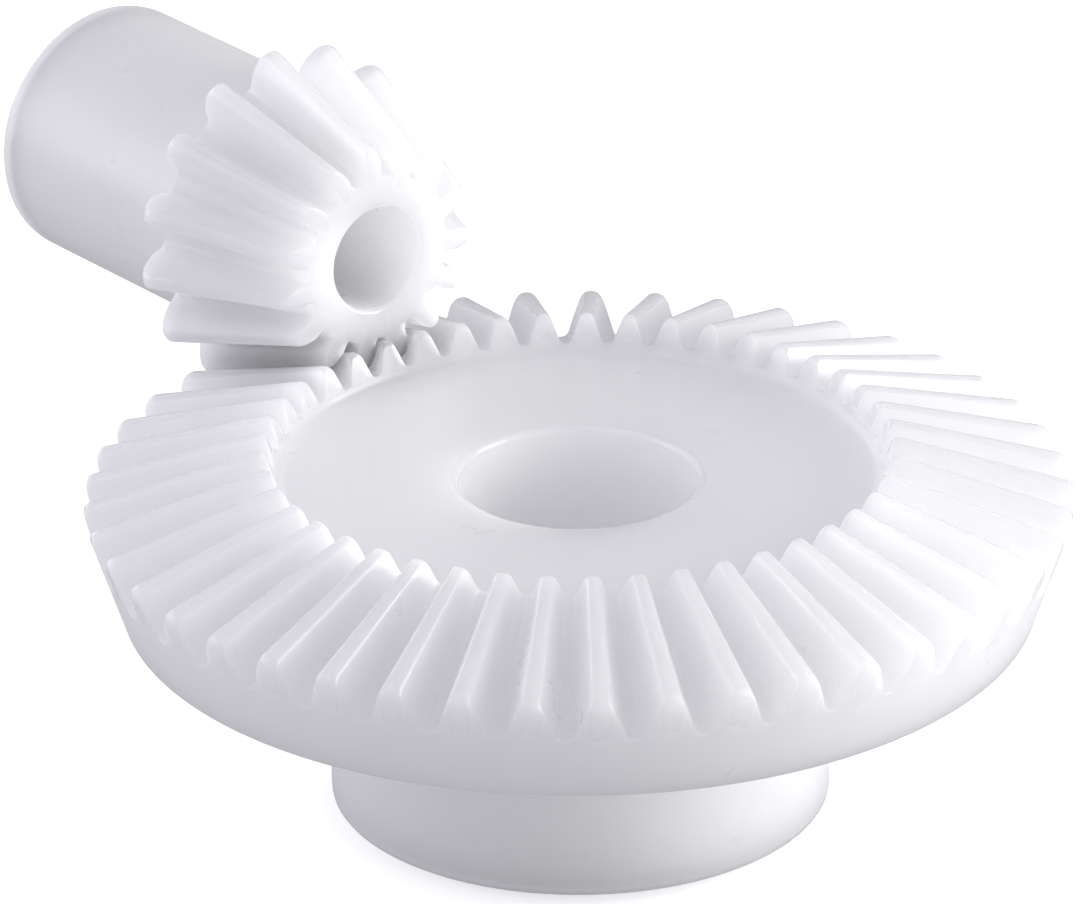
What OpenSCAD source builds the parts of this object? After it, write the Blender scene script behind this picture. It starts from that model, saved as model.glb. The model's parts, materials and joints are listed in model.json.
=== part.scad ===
// A straight bevel gear pair with its axes at right angles: a moulded plastic
// wheel and the pinion that drives it, in mesh, with the shim rings that their
// hubs bear on. Both axes cross at the pitch apex. The origin is the centre of
// the wheel's bore at the back face of its hub, +Z runs up the wheel's axis,
// and the pinion lies along -X. All sizes are in millimetres.

/* [Teeth] */
// Pitch diameter divided by number of teeth, at the heel
tooth_module = 2; // [1.95:0.05:2.05]
// Number of teeth on the wheel
wheel_teeth = 45; // [43:1:47]
// Number of teeth on the pinion
pinion_teeth = 15; // [14:1:16]
// Angle of the flanks at the pitch line
pressure_angle = 20; // [18:0.5:22]
// Length of a wheel tooth along its pitch cone
face_width = 17.5; // [15:0.5:18]
// Tooth height above the pitch line, in modules
addendum_factor = 1; // [0.9:0.05:1]
// Tooth depth below the pitch line, in modules
dedendum_factor = 1.25; // [1.2:0.05:1.3]
// Play between mating flanks, measured along the pitch line
backlash = 0.16; // [0.12:0.02:0.4]
// Radius along the edges of a tooth's tip
tip_radius = 1; // [0.4:0.05:1]
// Radius at the foot of a tooth
root_radius = 0.8; // [0.3:0.05:0.85]
// Radius where a tooth's tip meets its heel
heel_radius = 1; // [0.5:0.1:1.2]
// Radius where a tooth's tip meets its toe
toe_radius = 0.6; // [0.3:0.1:0.8]

/* [Wheel] */
// Distance from the pitch apex to the back face of the wheel's hub
wheel_mounting = 43.5; // [40:0.5:46]
// Diameter of the wheel's bore
wheel_bore = 22; // [16:0.5:24]
// Radius round the top edge of the wheel's bore
bore_edge = 0.6; // [0.3:0.1:1]
// Distance from the pitch apex down to the wheel's web
web_depth = 12; // [11.5:0.1:13]
// Radius where the web meets the toes of the teeth
web_fillet = 1.2; // [0.5:0.1:1.5]
// Distance from the pitch apex down to the underside of the wheel's rim
rim_depth = 23.8; // [22:0.1:26]
// Diameter of the wheel's hub at its back face
wheel_hub = 46.2; // [42:0.1:50]
// Radius round the back edge of the wheel's hub
wheel_hub_edge = 0.8; // [0.4:0.1:1.5]

/* [Pinion] */
// Distance from the pitch apex to the back face of the pinion's hub
pinion_mounting = 72; // [60:0.5:76]
// Distance from the pitch apex to the flat toe end of the pinion
pinion_toe = 29.4; // [29:0.1:31]
// Diameter of the pinion's bore
pinion_bore = 10; // [8:0.5:11]
// Radius round the toe edge of the pinion's bore
pinion_bore_edge = 0.5; // [0.3:0.1:0.7]
// Diameter of the pinion's hub
pinion_hub = 24.6; // [23:0.1:25]
// Radius round the back edge of the pinion's hub
pinion_hub_edge = 0.6; // [0.4:0.1:1]

/* [Shims] */
// Thickness of each shim ring
shim_thickness = 1; // [0.5:0.1:2]
// Gap between a shim ring and the hub that turns against it
shim_gap = 0.05; // [0.02:0.01:0.1]
// Inside diameter of the wheel's shim ring
wheel_shim_hole = 28; // [25:1:30]
// Outside diameter of the wheel's shim ring
wheel_shim = 40; // [36:1:41]
// Inside diameter of the pinion's shim ring
pinion_shim_hole = 14; // [12:1:15]
// Outside diameter of the pinion's shim ring
pinion_shim = 20; // [18:1:22]

/* [Pose] */
// Turn of the wheel from the place where one of its teeth points at the pinion
wheel_turn = -0.96; // [-4:0.01:4]

/* [Hidden] */

plastic = [0.86, 0.86, 0.88];
steel = [0.62, 0.64, 0.67];

// The two pitch cones share one apex and one cone distance
wheel_cone = atan(wheel_teeth / pinion_teeth);
pinion_cone = 90 - wheel_cone;
wheel_pitch_r = tooth_module * wheel_teeth / 2;
pinion_pitch_r = tooth_module * pinion_teeth / 2;
cone_distance = wheel_pitch_r / sin(wheel_cone);
toe_scale = 1 - face_width / cone_distance;
addendum = addendum_factor * tooth_module;
dedendum = dedendum_factor * tooth_module;
hub_draft = 0.5;
hub_fillet = 1;
rim_edge = 0.4;
arc_steps = 6;
flank_steps = 6;
fillet_steps = 3;
// How far a tooth space runs past the heel and the toe, and past the tip
heel_overrun = 1.1;
toe_overrun = 0.86;
exit_step = 0.12;
tip_overrun = 1.5;

// A point on an arc that starts at start along the unit vector u and turns towards the unit vector n
function arc_point(start, u, n, r, turn) = start + r * (sin(turn) * u + (1 - cos(turn)) * n);
function unit(v) = v / norm(v);

// The arc that rounds the corner c between points a and b with radius r
function corner_arc(a, c, b, r, steps) =
    let (
        u = unit(c - a),
        w = unit(b - c),
        turn = acos(u * w),
        n = unit(w - (u * w) * u),
        start = c - r * tan(turn / 2) * u
    )
    [for (i = [0:steps]) arc_point(start, u, n, r, turn * i / steps)];

// An outline of [x, y, radius] corners with every corner rounded by its radius
function rounded(corners) =
    let (count = len(corners))
    [for (i = [0:count - 1])
        let (
            before = corners[(i + count - 1) % count],
            here = corners[i],
            after = corners[(i + 1) % count]
        )
        each here[2] == 0
            ? [[here[0], here[1]]]
            : corner_arc([before[0], before[1]], [here[0], here[1]], [after[0], after[1]], here[2], arc_steps)];

// Involute function of an angle, with the result in degrees
function involute(angle) = tan(angle) * 180 / PI - angle;

// Half the angle of a tooth space at radius rho, on the flat spur gear of pitch
// radius flat_r that the back cone unrolls into
function space_angle(rho, flat_r) =
    let (
        base_r = flat_r * cos(pressure_angle),
        thickness = PI * tooth_module / 2 - backlash / 2,
        tooth = thickness / (2 * flat_r) * 180 / PI + involute(pressure_angle)
            - involute(acos(base_r / max(rho, base_r)))
    )
    90 * tooth_module / flat_r - tooth;

function flank_point(rho, flat_r) = rho * [sin(space_angle(rho, flat_r)), cos(space_angle(rho, flat_r))];

// One side of a tooth space on that flat gear, from its floor out past the tip:
// a fillet, the involute flank, and the round-over of the tooth's tip
function space_side(flat_r) =
    let (
        floor_r = flat_r - dedendum,
        tip_r = flat_r + addendum,
        start_r = max(floor_r + 1.2 * root_radius, flat_r * cos(pressure_angle)),
        end_r = tip_r - tip_radius,
        corner = flank_point(floor_r, flat_r),
        flank = [for (i = [0:flank_steps]) flank_point(start_r + (end_r - start_r) * i / flank_steps, flat_r)],
        foot = corner_arc([0, corner[1]], corner, flank[0], root_radius, fillet_steps),
        tip = flank_point(tip_r, flat_r),
        u = unit(tip - flank[flank_steps]),
        w = [cos(space_angle(tip_r, flat_r)), -sin(space_angle(tip_r, flat_r))],
        turn = acos(u * w),
        n = unit(w - (u * w) * u),
        start = tip - tip_radius * tan(turn / 2) * u,
        round_over = [for (f = [0, 0.3, 0.6, 0.85]) arc_point(start, u, n, tip_radius, turn * f)],
        exit = round_over[3] + exit_step * (cos(0.85 * turn) * u + sin(0.85 * turn) * n)
    )
    concat(foot, flank, round_over, [exit, exit + [0, tip_overrun]]);

// A point of the flat gear, rolled back onto the back cone, in a frame with the pitch apex
// at the origin and the gear along +Z
function on_back_cone(p, cone, flat_r) =
    let (rho = norm(p), theta = atan2(p[0], p[1]) / cos(cone))
    [
        rho * cos(cone) * cos(theta),
        rho * cos(cone) * sin(theta),
        cone_distance * cos(cone) - (rho - flat_r) * sin(cone)
    ];

// The same point slid along its line through the apex to the plane at the given
// distance along the pitch cone
function slid(p, cone, distance) = p * distance / (p * [sin(cone), 0, cos(cone)]);

// One tooth space, cut along lines that all meet at the apex
module tooth_space(cone, pitch_r) {
    flat_r = pitch_r / cos(cone);
    right = [for (p = space_side(flat_r)) on_back_cone(p, cone, flat_r)];
    left = [for (p = right) [p[0], -p[1], p[2]]];
    near = cone_distance * toe_scale * toe_overrun;
    far = cone_distance * heel_overrun;
    rows = len(right);
    points = [
        for (distance = [near, far])
        for (side = [right, left])
        for (p = side)
        slid(p, cone, distance)
    ];
    // Row i of the near right, near left, far right and far left edges
    nr = 0;
    nl = rows;
    fr = 2 * rows;
    fl = 3 * rows;
    top = rows - 1;
    polyhedron(points, concat(
        [for (i = [0:rows - 2]) [nr + i, nl + i, nl + i + 1, nr + i + 1]],
        [for (i = [0:rows - 2]) [fr + i, fr + i + 1, fl + i + 1, fl + i]],
        [for (i = [0:rows - 2]) [nr + i, nr + i + 1, fr + i + 1, fr + i]],
        [for (i = [0:rows - 2]) [nl + i, fl + i, fl + i + 1, nl + i + 1]],
        [[nr, fr, fl, nl]],
        [[nr + top, nl + top, fl + top, fr + top]]
    ));
}

// Radius and distance from the apex of a tooth's tip at the heel
function tip_at_heel(cone, pitch_r) = [pitch_r + addendum * cos(cone), pitch_r / tan(cone) - addendum * sin(cone)];

// The wheel before its teeth are cut, as radius and distance from the apex
module wheel_blank() {
    heel = tip_at_heel(wheel_cone, wheel_pitch_r);
    toe = toe_scale * heel;
    // Both ends of the teeth run square to the pitch cone
    toe_foot_r = toe[0] - (web_depth - toe[1]) / tan(wheel_cone);
    rim_r = heel[0] - (rim_depth - heel[1]) / tan(wheel_cone);
    hub_top_r = wheel_hub / 2 + (wheel_mounting - rim_depth) * tan(hub_draft);
    rotate_extrude($fn = 180)
        polygon(rounded([
            [wheel_bore / 2, wheel_mounting, 0],
            [wheel_bore / 2, web_depth, bore_edge],
            [toe_foot_r, web_depth, web_fillet],
            [toe[0], toe[1], toe_radius],
            [heel[0], heel[1], heel_radius],
            [rim_r, rim_depth, rim_edge],
            [hub_top_r, rim_depth, hub_fillet],
            [wheel_hub / 2, wheel_mounting, wheel_hub_edge]
        ]));
}

// The pinion before its teeth are cut, as radius and distance from the apex
module pinion_blank() {
    heel = tip_at_heel(pinion_cone, pinion_pitch_r);
    toe_r = pinion_toe * heel[0] / heel[1];
    heel_foot = heel[1] + (heel[0] - pinion_hub / 2) * tan(pinion_cone);
    rotate_extrude($fn = 120)
        polygon(rounded([
            [pinion_bore / 2, pinion_mounting, 0],
            [pinion_bore / 2, pinion_toe, pinion_bore_edge],
            [toe_r, pinion_toe, toe_radius],
            [heel[0], heel[1], heel_radius],
            [pinion_hub / 2, heel_foot, 0],
            [pinion_hub / 2, pinion_mounting, pinion_hub_edge]
        ]));
}

module bevel_wheel() {
    color(plastic)
        translate([0, 0, wheel_mounting])
        rotate([0, 0, 180 + wheel_turn])
        rotate([180, 0, 0])
        difference() {
            wheel_blank();
            for (i = [0:wheel_teeth - 1])
                rotate([0, 0, (i + 0.5) * 360 / wheel_teeth])
                tooth_space(wheel_cone, wheel_pitch_r);
        }
}

module bevel_pinion() {
    color(plastic)
        translate([0, 0, wheel_mounting])
        rotate([0, -90, 0])
        rotate([0, 0, 180 + wheel_turn * wheel_teeth / pinion_teeth])
        difference() {
            pinion_blank();
            for (i = [0:pinion_teeth - 1])
                rotate([0, 0, i * 360 / pinion_teeth])
                tooth_space(pinion_cone, pinion_pitch_r);
        }
}

module shim_ring(outside, hole) {
    rotate_extrude($fn = 120)
        translate([hole / 2, 0])
        square([(outside - hole) / 2, shim_thickness]);
}

module wheel_shim_ring() {
    color(steel)
        translate([0, 0, -shim_gap - shim_thickness])
        shim_ring(wheel_shim, wheel_shim_hole);
}

module pinion_shim_ring() {
    color(steel)
        translate([-pinion_mounting - shim_gap, 0, wheel_mounting])
        rotate([0, -90, 0])
        shim_ring(pinion_shim, pinion_shim_hole);
}

bevel_wheel();
bevel_pinion();
wheel_shim_ring();
pinion_shim_ring();
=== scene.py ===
import json
import math

import bpy
import numpy as np
from mathutils import Matrix, Vector


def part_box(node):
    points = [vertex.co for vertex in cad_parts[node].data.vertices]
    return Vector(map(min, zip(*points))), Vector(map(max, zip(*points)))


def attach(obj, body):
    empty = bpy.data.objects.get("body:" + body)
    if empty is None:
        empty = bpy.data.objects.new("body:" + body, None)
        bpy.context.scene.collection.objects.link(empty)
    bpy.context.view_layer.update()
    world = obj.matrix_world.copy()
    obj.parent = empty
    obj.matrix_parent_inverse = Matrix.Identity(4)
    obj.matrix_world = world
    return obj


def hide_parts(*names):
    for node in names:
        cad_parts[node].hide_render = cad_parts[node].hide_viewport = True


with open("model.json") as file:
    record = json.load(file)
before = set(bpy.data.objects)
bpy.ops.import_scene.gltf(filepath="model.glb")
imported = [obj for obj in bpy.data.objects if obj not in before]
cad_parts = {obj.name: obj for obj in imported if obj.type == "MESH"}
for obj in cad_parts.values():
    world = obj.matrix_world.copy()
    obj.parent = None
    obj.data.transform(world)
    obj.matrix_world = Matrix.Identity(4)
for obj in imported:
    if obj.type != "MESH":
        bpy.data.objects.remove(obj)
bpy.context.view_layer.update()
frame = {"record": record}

MM = 0.001

# Tooth form and outlines of the two gears, in millimetres, as in the CAD model
MODULE = 2.0
WHEEL_TEETH = 45
PINION_TEETH = 15
PRESSURE_ANGLE = math.radians(20)
FACE_WIDTH = 17.5
ADDENDUM = 1.0 * MODULE
DEDENDUM = 1.25 * MODULE
BACKLASH = 0.16
TIP_RADIUS = 1.0
ROOT_RADIUS = 0.8
HEEL_RADIUS = 1.0
TOE_RADIUS = 0.6
WHEEL_TURN = math.radians(-0.96)
WEB_DEPTH = 12.0
RIM_DEPTH = 23.8
WHEEL_HUB_R = 23.1
PINION_TOE = 29.4
PINION_HUB_R = 12.3
HUB_DRAFT = math.radians(0.5)

# Roundings of the outlines, in millimetres, from the rim round the back to the web
RIM_EDGE = 0.4
HUB_ROOT = 1.0
WHEEL_HUB_EDGE = 0.8
PINION_HUB_EDGE = 0.6
BORE_BACK_EDGE = 0.2
WHEEL_BORE_EDGE = 0.6
PINION_BORE_EDGE = 0.5
WEB_FILLET = 1.1

# Roundings of the edges at the two ends of every tooth, in millimetres
HEEL_EDGE = 0.2
TOE_EDGE = 0.12

# Depths from the apex where the wheel's outline leaves the heel face and joins the toe face, in millimetres
HEEL_FACE_START = 18.0
TOE_FACE_END = 11.2
# Width of the flat ring round the pinion's bore at its toe, in millimetres
PINION_TOE_LAND = 1.2

# How finely each curve is drawn
FLANK_STEPS = 4
FOOT_STEPS = 4
OVER_STEPS = 5
ARC_STEPS = 4
SHIM_STEPS = 192
# Where the flank begins above the root circle, in root radii
FLANK_START = 1.2
# Angles round the tip's end rounding and the edge rounding that get a ring of points, in degrees
TIP_ANGLES = (0, 12, 24, 36, 46)
EDGE_ANGLES = (0, 22, 45, 67, 90)
# Width of the narrow band that keeps a flat face flat beside a rounding, in millimetres
SUPPORT = 0.05
# Columns of points over which the polish of a tooth's crest comes in
POLISH_COLUMNS = 3
GEAR_SHARP = math.radians(38)
SHIM_SHARP = math.radians(30)

# Hole of each shim ring as a share of its outside diameter, and its broken edge in millimetres
SHIM_HOLES = {"wheel_shim_ring": 28 / 40, "pinion_shim_ring": 14 / 20}
SHIM_EDGE = 0.12

WHEEL_CONE = math.atan(WHEEL_TEETH / PINION_TEETH)
PINION_CONE = math.pi / 2 - WHEEL_CONE
CONE_DISTANCE = MODULE * WHEEL_TEETH / 2 / math.sin(WHEEL_CONE)
TOE_DISTANCE = CONE_DISTANCE - FACE_WIDTH

# The frame's own record gives the bores and where each axis lies
mounts = {m["name"]: m for m in frame["record"]["mounts"]}
WHEEL_BORE_R = mounts["wheel_bore"]["dims"]["r_mm"]
PINION_BORE_R = mounts["pinion_bore"]["dims"]["r_mm"]
WHEEL_MOUNTING = mounts["pinion_bore"]["pos_m"][2] / MM
PINION_MOUNTING = -mounts["pinion_bore"]["pos_m"][0] / MM


def involute(angle):
    return math.tan(angle) - angle


def unit(v):
    return v / np.linalg.norm(v)


def corner_arc(a, c, b, r, steps):
    """Points of the arc of radius r that rounds corner c from a to b, and unit vectors from its centre."""
    u, w = unit(c - a), unit(b - c)
    turn = math.acos(max(-1.0, min(1.0, float(u @ w))))
    n = unit(w - (u @ w) * u)
    start = c - r * math.tan(turn / 2) * u
    centre = start + r * n
    points, normals = [], []
    for i in range(steps + 1):
        t = turn * i / steps
        p = start + r * (math.sin(t) * u + (1 - math.cos(t)) * n)
        points.append(p)
        normals.append(unit(p - centre))
    return points, normals


class Teeth:
    """One straight bevel gear's teeth, with the pitch apex at the origin and the gear's axis along +Z."""

    def __init__(self, teeth, cone):
        self.teeth = teeth
        self.cone = cone
        self.pitch_r = MODULE * teeth / 2
        self.flat_r = self.pitch_r / math.cos(cone)
        self.base_r = self.flat_r * math.cos(PRESSURE_ANGLE)
        self.floor_r = self.flat_r - DEDENDUM
        self.half_pitch = math.pi * MODULE / 2 / self.flat_r

    def space_angle(self, rho):
        thickness = math.pi * MODULE / 2 - BACKLASH / 2
        tooth = thickness / (2 * self.flat_r) + involute(PRESSURE_ANGLE)
        tooth -= involute(math.acos(self.base_r / max(rho, self.base_r)))
        return self.half_pitch - tooth

    def flank_point(self, rho):
        a = self.space_angle(rho)
        return rho * np.array([math.sin(a), math.cos(a)])

    def section(self, tip_drop, inset):
        """Half a tooth space and half a tooth on the flat gear, the tip lowered and the surface set in."""
        tip_r = self.flat_r + ADDENDUM - tip_drop
        start_r = max(self.floor_r + FLANK_START * ROOT_RADIUS, self.base_r)
        end_r = tip_r - TIP_RADIUS
        floor = self.flank_point(self.floor_r)
        flank = [
            self.flank_point(start_r + (end_r - start_r) * i / FLANK_STEPS)
            for i in range(FLANK_STEPS + 1)
        ]
        middle = np.array([0.0, floor[1]])
        foot, foot_out = corner_arc(middle, floor, flank[0], ROOT_RADIUS, FOOT_STEPS)
        tip = self.flank_point(tip_r)
        a = self.space_angle(tip_r)
        along = np.array([math.cos(a), -math.sin(a)])
        over, over_out = corner_arc(flank[-1], tip, tip + along, TIP_RADIUS, OVER_STEPS)
        outward = np.array([0.0, 1.0])
        points = [middle, np.array([foot[0][0] / 2, floor[1]])] + foot
        normals = [outward, outward] + [-n for n in foot_out]
        for i in range(1, FLANK_STEPS):
            t = unit(flank[i + 1] - flank[i - 1])
            points.append(flank[i])
            normals.append(np.array([-t[1], t[0]]))
        points += over
        normals += over_out
        last = math.atan2(over[-1][0], over[-1][1])
        for f in (0.5, 1.0):
            b = last + (self.half_pitch - last) * f
            points.append(np.linalg.norm(over[-1]) * np.array([math.sin(b), math.cos(b)]))
            normals.append(np.array([math.sin(b), math.cos(b)]))
        return np.array(points) - inset * np.array(normals)

    def ring(self, tip_drop, inset, plane, distance):
        """One ring of points round the gear: the section slid along lines through the apex to a plane."""
        scale = distance / (CONE_DISTANCE if plane == "slant" else CONE_DISTANCE * math.cos(self.cone))
        half = self.section(tip_drop / scale, inset / scale)
        rho = np.hypot(half[:, 0], half[:, 1])
        theta = np.arctan2(half[:, 0], half[:, 1]) / math.cos(self.cone)
        r = rho * math.cos(self.cone)
        z = CONE_DISTANCE * math.cos(self.cone) - (rho - self.flat_r) * math.sin(self.cone)
        reach = z if plane == "axial" else r * math.sin(self.cone) + z * math.cos(self.cone)
        return theta, r * distance / reach, z * distance / reach

    def crest_wear(self, count):
        """Wear of each column round one tooth space: 0 up to the top of the flank, and 1 on the crest."""
        half = np.zeros(count)
        crest = OVER_STEPS + 2
        half[-crest:] = np.minimum(1, np.arange(1, crest + 1) / POLISH_COLUMNS)
        return np.concatenate([half, half[-2:0:-1]])

    def full(self, theta, r, z):
        """A half section's ring, mirrored and repeated for every tooth, as points in space."""
        pitch = 2 * math.pi / self.teeth
        one_theta = np.concatenate([theta, pitch - theta[-2:0:-1]])
        one_r = np.concatenate([r, r[-2:0:-1]])
        one_z = np.concatenate([z, z[-2:0:-1]])
        angles = (one_theta[None, :] + pitch * np.arange(self.teeth)[:, None]).ravel()
        rr = np.tile(one_r, self.teeth)
        return np.stack([rr * np.cos(angles), rr * np.sin(angles), np.tile(one_z, self.teeth)], axis=1)


def end_stations(corner_r, edge_r):
    """Each ring near a tooth's end: its depth in from the end, the tip's drop, and how far it is set in."""
    depths = [corner_r * (1 - math.sin(math.radians(a))) for a in TIP_ANGLES]
    depths += [edge_r * (1 - math.sin(math.radians(b))) for b in EDGE_ANGLES]
    out = []
    for d in sorted(set(depths), reverse=True):
        drop = corner_r - math.sqrt(max(0.0, corner_r**2 - (corner_r - d) ** 2))
        inset = edge_r - math.sqrt(max(0.0, edge_r**2 - max(0.0, edge_r - d) ** 2))
        out.append((d, drop, inset))
    out.append((0.0, corner_r, edge_r + SUPPORT))
    return out


def corner_stands_out(a, c, b):
    """Whether corner c is an edge and not a hollow, with the outline going from heel to back to toe."""
    u, w = c - a, b - c
    return u[0] * w[1] - u[1] * w[0] > 0


def rounded(corners):
    """An outline of (r, z, wear) points from (r, z, radius) corners, with support points at each arc."""
    out = [(*corners[0][:2], 0.0)]
    for before, here, after in zip(corners, corners[1:], corners[2:]):
        a, c, b = (np.array(p[:2], float) for p in (before, here, after))
        if here[2] == 0:
            out.append((*c, 0.0))
            continue
        points, _ = corner_arc(a, c, b, here[2], ARC_STEPS)
        worn = float(corner_stands_out(a, c, b))
        out.append((*(points[0] - SUPPORT * unit(c - a)), 0.0))
        out += [(*p, worn) for p in points]
        out.append((*(points[-1] + SUPPORT * unit(b - c)), 0.0))
    out.append((*corners[-1][:2], 0.0))
    return out


def spread(theta, half_pitch):
    """Angles of the outline's columns: the tooth space's up to the foot of the flank, then even ones."""
    foot = FOOT_STEPS + 2
    rest = len(theta) - foot
    even = theta[foot] + (half_pitch - theta[foot]) * np.arange(rest) / (rest - 1)
    out = theta.copy()
    out[foot:] = np.maximum(even, theta[foot:])
    return np.maximum.accumulate(out)


def ring_faces(rings, around):
    """Quads between neighbouring rings of points, the last ring joined to the first."""
    faces = []
    for i in range(rings):
        a, b = i * around, ((i + 1) % rings) * around
        for k in range(around):
            n = (k + 1) % around
            faces.append((a + k, a + n, b + n, b + k))
    return faces


def smooth_piece(name, mesh, sharp):
    """An object in the scene, shaded smooth except across edges sharper than that angle."""
    mesh.polygons.foreach_set("use_smooth", [True] * len(mesh.polygons))
    mesh.set_sharp_from_angle(angle=sharp)
    piece = bpy.data.objects.new(name, mesh)
    bpy.context.scene.collection.objects.link(piece)
    return piece


def gear_mesh(name, gear, toe_plane, toe_at, outline, place):
    """A closed gear: rings from the toe along the teeth to the heel, then round the outline back to the toe.

    Its point attribute "wear" is 1 on tooth crests and outer edges, and 0 elsewhere.
    """
    rings, row_wear = [], []
    toe, heel = end_stations(TOE_RADIUS, TOE_EDGE), end_stations(HEEL_RADIUS, HEEL_EDGE)
    for depth, drop, inset in reversed(toe):
        rings.append(gear.ring(drop, inset, toe_plane, toe_at + depth))
        row_wear.append((0.0, 1.0))
    for depth, drop, inset in heel:
        rings.append(gear.ring(drop, inset, "slant", CONE_DISTANCE - depth))
        row_wear.append((0.0, 1.0))
    count = len(rings[0][0])
    outline_theta = spread(np.maximum(rings[0][0], rings[-1][0]), math.pi / gear.teeth)
    for r, z, worn in outline:
        rings.append((outline_theta, np.full(count, r), np.full(count, z)))
        row_wear.append((worn, 0.0))
    points = np.concatenate([gear.full(*ring) for ring in rings])
    mesh = bpy.data.meshes.new(name)
    mesh.from_pydata((points * MM).tolist(), [], ring_faces(len(rings), len(points) // len(rings)))
    mesh.transform(place)
    mesh.update()
    crest = gear.crest_wear(count)
    wear = [np.tile(np.maximum(row, share * crest), gear.teeth) for row, share in row_wear]
    mesh.attributes.new("wear", "FLOAT", "POINT").data.foreach_set("value", np.concatenate(wear))
    volume = sum(p.center.dot(p.normal) * p.area for p in mesh.polygons)
    if volume < 0:
        mesh.flip_normals()
    return smooth_piece(name, mesh, GEAR_SHARP)


def along_end_face(gear, distance, z):
    """Radius where a gear's end face square to the pitch cone meets a plane across the axis."""
    return (distance - z * math.cos(gear.cone)) / math.sin(gear.cone)


wheel_teeth = Teeth(WHEEL_TEETH, WHEEL_CONE)
pinion_teeth = Teeth(PINION_TEETH, PINION_CONE)
apex = Matrix.Translation((0, 0, WHEEL_MOUNTING * MM))

hub_top_r = WHEEL_HUB_R + (WHEEL_MOUNTING - RIM_DEPTH) * math.tan(HUB_DRAFT)
rim_r = along_end_face(wheel_teeth, CONE_DISTANCE, RIM_DEPTH)
foot_r = along_end_face(wheel_teeth, TOE_DISTANCE, WEB_DEPTH)
heel_face_r = along_end_face(wheel_teeth, CONE_DISTANCE, HEEL_FACE_START)
toe_face_r = along_end_face(wheel_teeth, TOE_DISTANCE, TOE_FACE_END)
wheel_outline = rounded([
    (heel_face_r, HEEL_FACE_START, 0),
    (rim_r, RIM_DEPTH, RIM_EDGE),
    (hub_top_r, RIM_DEPTH, HUB_ROOT),
    (WHEEL_HUB_R, WHEEL_MOUNTING, WHEEL_HUB_EDGE),
    (WHEEL_BORE_R, WHEEL_MOUNTING, BORE_BACK_EDGE),
    (WHEEL_BORE_R, WEB_DEPTH, WHEEL_BORE_EDGE),
    (foot_r, WEB_DEPTH, WEB_FILLET),
    (toe_face_r, TOE_FACE_END, 0),
])[:-1]
wheel_place = apex @ Matrix.Rotation(math.pi + WHEEL_TURN, 4, "Z") @ Matrix.Rotation(math.pi, 4, "X")
wheel_place = wheel_place @ Matrix.Rotation(math.pi / WHEEL_TEETH, 4, "Z")
wheel = gear_mesh("wheel_moulding", wheel_teeth, "slant", TOE_DISTANCE, wheel_outline, wheel_place)

heel_foot = (CONE_DISTANCE - PINION_HUB_R * math.sin(PINION_CONE)) / math.cos(PINION_CONE)
pinion_outline = rounded([
    (PINION_HUB_R, heel_foot, 0),
    (PINION_HUB_R, heel_foot + 2 * SUPPORT, 0),
    (PINION_HUB_R, PINION_MOUNTING, PINION_HUB_EDGE),
    (PINION_BORE_R, PINION_MOUNTING, BORE_BACK_EDGE),
    (PINION_BORE_R, PINION_TOE, PINION_BORE_EDGE),
    (PINION_BORE_R + PINION_TOE_LAND, PINION_TOE, 0),
])
pinion_place = apex @ Matrix.Rotation(-math.pi / 2, 4, "Y")
pinion_place = pinion_place @ Matrix.Rotation(math.pi + WHEEL_TURN * WHEEL_TEETH / PINION_TEETH, 4, "Z")
pinion = gear_mesh("pinion_moulding", pinion_teeth, "axial", PINION_TOE, pinion_outline, pinion_place)


def shim_mesh(name, node, axis):
    """A flat ring with broken edges round axis 0 (X) or 2 (Z), filling its CAD node's box."""
    lo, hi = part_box(node)
    size, centre = hi - lo, (lo + hi) / 2
    outer = max(size) / 2
    thick = size[axis] / 2
    inner = outer * SHIM_HOLES[node]
    edge = SHIM_EDGE * MM
    section = [
        (inner, -thick + edge),
        (inner + edge, -thick),
        (outer - edge, -thick),
        (outer, -thick + edge),
        (outer, thick - edge),
        (outer - edge, thick),
        (inner + edge, thick),
        (inner, thick - edge),
    ]
    turn = Matrix.Rotation(-math.pi / 2, 4, "Y") if axis == 0 else Matrix.Identity(4)
    points = []
    for r, z in section:
        for k in range(SHIM_STEPS):
            angle = 2 * math.pi * k / SHIM_STEPS
            points.append(centre + turn @ Vector((r * math.cos(angle), r * math.sin(angle), z)))
    mesh = bpy.data.meshes.new(name)
    mesh.from_pydata(points, [], ring_faces(len(section), SHIM_STEPS))
    mesh.update()
    return smooth_piece(name, mesh, SHIM_SHARP)


wheel_shim = shim_mesh("wheel_shim", "wheel_shim_ring", 2)
pinion_shim = shim_mesh("pinion_shim", "pinion_shim_ring", 0)


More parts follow.
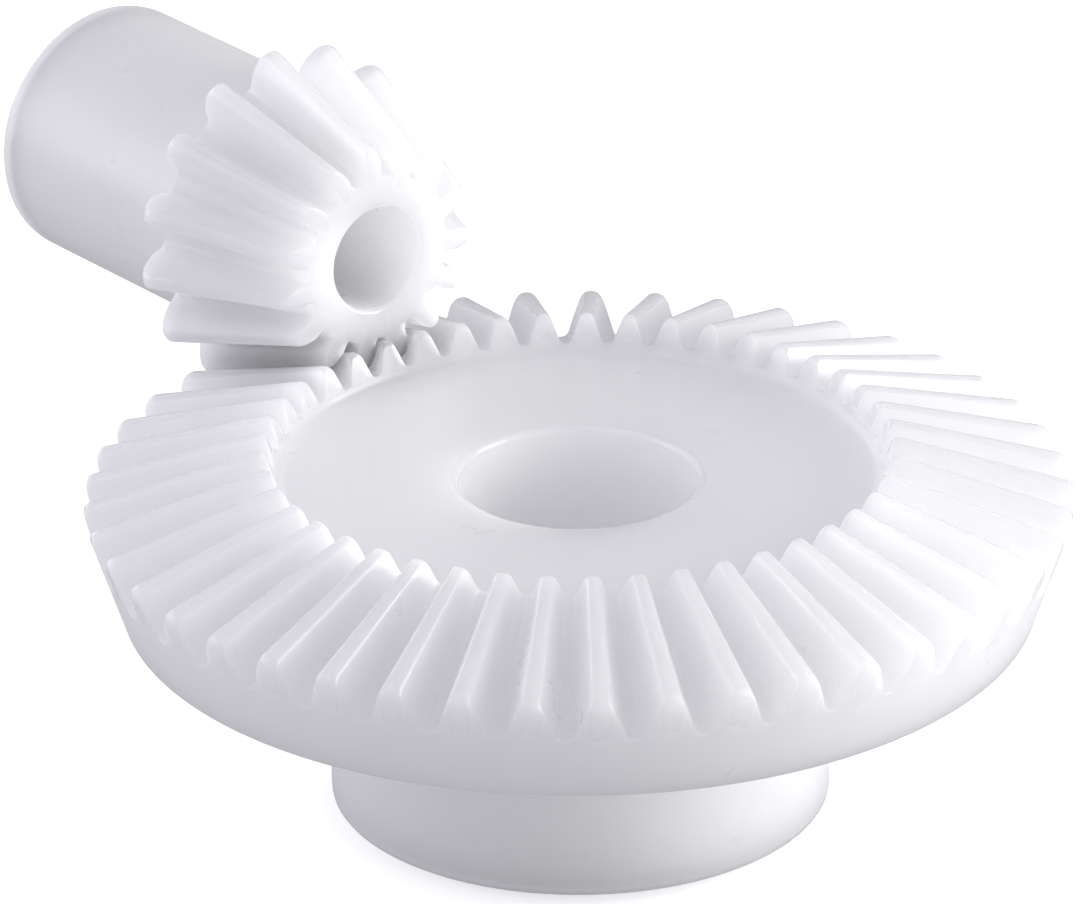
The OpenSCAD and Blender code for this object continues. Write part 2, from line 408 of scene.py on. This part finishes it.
class Material:
    """A node material in the making, whose noises all read the same object coordinates."""

    def __init__(self, name, location, scale=(1, 1, 1)):
        self.mat = bpy.data.materials.new(name)
        self.mat.use_nodes = True
        self.nodes, self.links = self.mat.node_tree.nodes, self.mat.node_tree.links
        self.shader = self.nodes["Principled BSDF"]
        coords = self.nodes.new("ShaderNodeTexCoord")
        self.place = self.nodes.new("ShaderNodeMapping")
        self.place.inputs["Location"].default_value = location
        self.place.inputs["Scale"].default_value = scale
        self.links.new(coords.outputs["Object"], self.place.inputs["Vector"])

    def noise(self, scale, detail, roughness=0.5):
        node = self.nodes.new("ShaderNodeTexNoise")
        node.inputs["Scale"].default_value = scale
        node.inputs["Detail"].default_value = detail
        node.inputs["Roughness"].default_value = roughness
        self.links.new(self.place.outputs["Vector"], node.inputs["Vector"])
        return node.outputs["Fac"]

    def base_colour(self, value, low, high, low_at=0.0, high_at=1.0):
        """The base colour runs from low to high as the value goes from low_at to high_at."""
        ramp = self.nodes.new("ShaderNodeValToRGB")
        for element, colour, at in zip(ramp.color_ramp.elements, (low, high), (low_at, high_at)):
            element.position = at
            element.color = (*colour, 1)
        self.links.new(value, ramp.inputs["Fac"])
        self.links.new(ramp.outputs["Color"], self.shader.inputs["Base Color"])

    def spread_to(self, value, to_min, to_max, from_min=0.0, from_max=1.0):
        node = self.nodes.new("ShaderNodeMapRange")
        node.inputs["From Min"].default_value = from_min
        node.inputs["From Max"].default_value = from_max
        node.inputs["To Min"].default_value = to_min
        node.inputs["To Max"].default_value = to_max
        self.links.new(value, node.inputs["Value"])
        return node.outputs["Result"]

    def bump(self, height, strength, distance, over=None):
        """A bump, laid over an earlier one if that is given."""
        node = self.nodes.new("ShaderNodeBump")
        node.inputs["Strength"].default_value = strength
        node.inputs["Distance"].default_value = distance
        self.links.new(height, node.inputs["Height"])
        if over is not None:
            self.links.new(over, node.inputs["Normal"])
        return node.outputs["Normal"]


def acetal(name, tint, seed):
    """White acetal: satin skin, light that goes well in, faint clouds, fine grain, and polished crests."""
    m = Material(name, (seed, seed * 0.37, seed * 0.71))
    m.shader.inputs["IOR"].default_value = 1.48
    m.shader.inputs["Subsurface Weight"].default_value = 1.0
    m.shader.inputs["Subsurface Radius"].default_value = (1.0, 1.0, 1.0)
    m.shader.inputs["Subsurface Scale"].default_value = 0.022
    m.base_colour(m.noise(55, 3), [c * 0.95 for c in tint], tint, 0.3, 0.7)

    gloss = m.spread_to(m.noise(180, 4, 0.6), 0.27, 0.37, 0.3, 0.7)
    wear = m.nodes.new("ShaderNodeAttribute")
    wear.attribute_name = "wear"
    worn = m.nodes.new("ShaderNodeMath")
    worn.operation = "MULTIPLY"
    m.links.new(gloss, worn.inputs[0])
    m.links.new(m.spread_to(wear.outputs["Fac"], 1.0, 0.5), worn.inputs[1])
    m.links.new(worn.outputs["Value"], m.shader.inputs["Roughness"])

    grain = m.bump(m.noise(2600, 2), 0.12, 0.00003)
    sinks = m.bump(m.noise(140, 2), 0.25, 0.00012, over=grain)
    m.links.new(sinks, m.shader.inputs["Normal"])
    return m.mat


def shim_steel(name, seed):
    """Rolled steel sheet: fine lines one way, which vary its shade, its gloss and its surface."""
    m = Material(name, (seed, 0, 0), (1, 14, 14))
    m.shader.inputs["Metallic"].default_value = 1.0
    lines = m.noise(260, 5)
    m.base_colour(lines, (0.42, 0.43, 0.45), (0.68, 0.69, 0.7))
    m.links.new(m.spread_to(lines, 0.22, 0.5), m.shader.inputs["Roughness"])
    m.links.new(m.bump(lines, 0.2, 0.00002), m.shader.inputs["Normal"])
    return m.mat


WHITE = (0.96, 0.96, 0.972)
wheel.data.materials.append(acetal("wheel_acetal", WHITE, 3.1))
pinion.data.materials.append(acetal("pinion_acetal", WHITE, 8.4))
steel = shim_steel("shim_steel", 1.7)
wheel_shim.data.materials.append(steel)
pinion_shim.data.materials.append(steel)

for piece, node, body, slot in (
    (wheel, "bevel_wheel", "wheel", "wheel_plastic"),
    (pinion, "bevel_pinion", "pinion", "pinion_plastic"),
    (wheel_shim, "wheel_shim_ring", "bearing_shims", "shim_steel"),
    (pinion_shim, "pinion_shim_ring", "bearing_shims", "shim_steel"),
):
    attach(piece, body)
    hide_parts(node)

# The photograph's view: azimuth and elevation in degrees, distance in metres, lens in millimetres
VIEW_AZIMUTH = 50.94
VIEW_ELEVATION = 24.4
VIEW_DISTANCE = 0.8424
VIEW_ROLL = math.radians(-0.43)
VIEW_LENS = 307.0
SENSOR_WIDTH = 36.0
# The point that the camera and the lamps face, from the pitch apex, in millimetres
AIM_FROM_APEX = (-2.23, -2.75, -9.52)
aim = Vector((0, 0, WHEEL_MOUNTING)) * MM + Vector(AIM_FROM_APEX) * MM


def towards(azimuth, elevation):
    """The unit vector from the object to something seen from it at that azimuth and elevation, in degrees."""
    a, e = math.radians(azimuth), math.radians(elevation)
    return Vector((math.sin(a) * math.cos(e), -math.cos(a) * math.cos(e), math.sin(e)))


back = towards(VIEW_AZIMUTH, VIEW_ELEVATION)
camera_data = bpy.data.cameras.new("camera")
camera_data.lens = VIEW_LENS
camera_data.sensor_width = SENSOR_WIDTH
camera_data.clip_start = 0.01
camera_data.clip_end = 20.0
camera = bpy.data.objects.new("camera", camera_data)
camera.location = aim + back * VIEW_DISTANCE
facing = (-back).to_track_quat("-Z", "Y").to_matrix().to_4x4()
camera.rotation_mode = "QUATERNION"
camera.rotation_quaternion = (facing @ Matrix.Rotation(VIEW_ROLL, 4, "Z")).to_quaternion()
bpy.context.scene.collection.objects.link(camera)
bpy.context.scene.camera = camera

# A pale floor just under the shim ring. It throws no light or reflection back up, so the rim's
# underside stays dim, and a little emission brings it up to white.
FLOOR_GAP = 0.00002
FLOOR_REACH = 3.0
FLOOR_COLOUR = (0.93, 0.93, 0.93, 1)
FLOOR_GLOW = 0.45
floor_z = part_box("wheel_shim_ring")[0].z - FLOOR_GAP
floor_mesh = bpy.data.meshes.new("floor")
floor_mesh.from_pydata(
    [(x * FLOOR_REACH, y * FLOOR_REACH, floor_z) for x, y in ((-1, -1), (1, -1), (1, 1), (-1, 1))],
    [],
    [(0, 1, 2, 3)],
)
floor = bpy.data.objects.new("floor", floor_mesh)
bpy.context.scene.collection.objects.link(floor)
floor.visible_diffuse = False
floor.visible_glossy = False
floor_mat = bpy.data.materials.new("floor")
floor_mat.use_nodes = True
floor_shader = floor_mat.node_tree.nodes["Principled BSDF"]
floor_shader.inputs["Base Color"].default_value = FLOOR_COLOUR
floor_shader.inputs["Roughness"].default_value = 0.8
floor_shader.inputs["Emission Color"].default_value = (1, 1, 1, 1)
floor_shader.inputs["Emission Strength"].default_value = FLOOR_GLOW
floor_mat.cycles.emission_sampling = "NONE"
floor_mesh.materials.append(floor_mat)

world = bpy.data.worlds.new("world")
world.use_nodes = True
sky = world.node_tree.nodes["Background"]
sky.inputs["Color"].default_value = (0.96, 0.955, 1.03, 1)
sky.inputs["Strength"].default_value = 0.44
bpy.context.scene.world = world

# Soft boxes round the object, placed by their azimuth from the camera and their elevation, in degrees
NEUTRAL = (1, 1, 1)
COOL = (0.97, 0.96, 1.03)
LAMP_DISTANCE = 0.8
LAMP_SIZE = 0.5
for name, around, elevation, power, colour in (
    ("right", 90, 12, 5.0, NEUTRAL),
    ("right_low", 90, 0, 2.5, NEUTRAL),
    ("front_right", 45, 12, 1.05, NEUTRAL),
    ("front_left", -45, 50, 0.85, COOL),
    ("left", -90, 12, 1.85, COOL),
    ("back_left", -135, 12, 1.2, COOL),
):
    to_lamp = towards(VIEW_AZIMUTH + around, elevation)
    light = bpy.data.lights.new(name, "AREA")
    light.shape = "RECTANGLE"
    light.size = LAMP_SIZE
    light.size_y = LAMP_SIZE
    light.energy = power
    light.color = colour
    lamp = bpy.data.objects.new(name, light)
    lamp.location = aim + to_lamp * LAMP_DISTANCE
    lamp.rotation_mode = "QUATERNION"
    lamp.rotation_quaternion = (-to_lamp).to_track_quat("-Z", "Y")
    bpy.context.scene.collection.objects.link(lamp)

bpy.context.scene.view_settings.view_transform = "Standard"
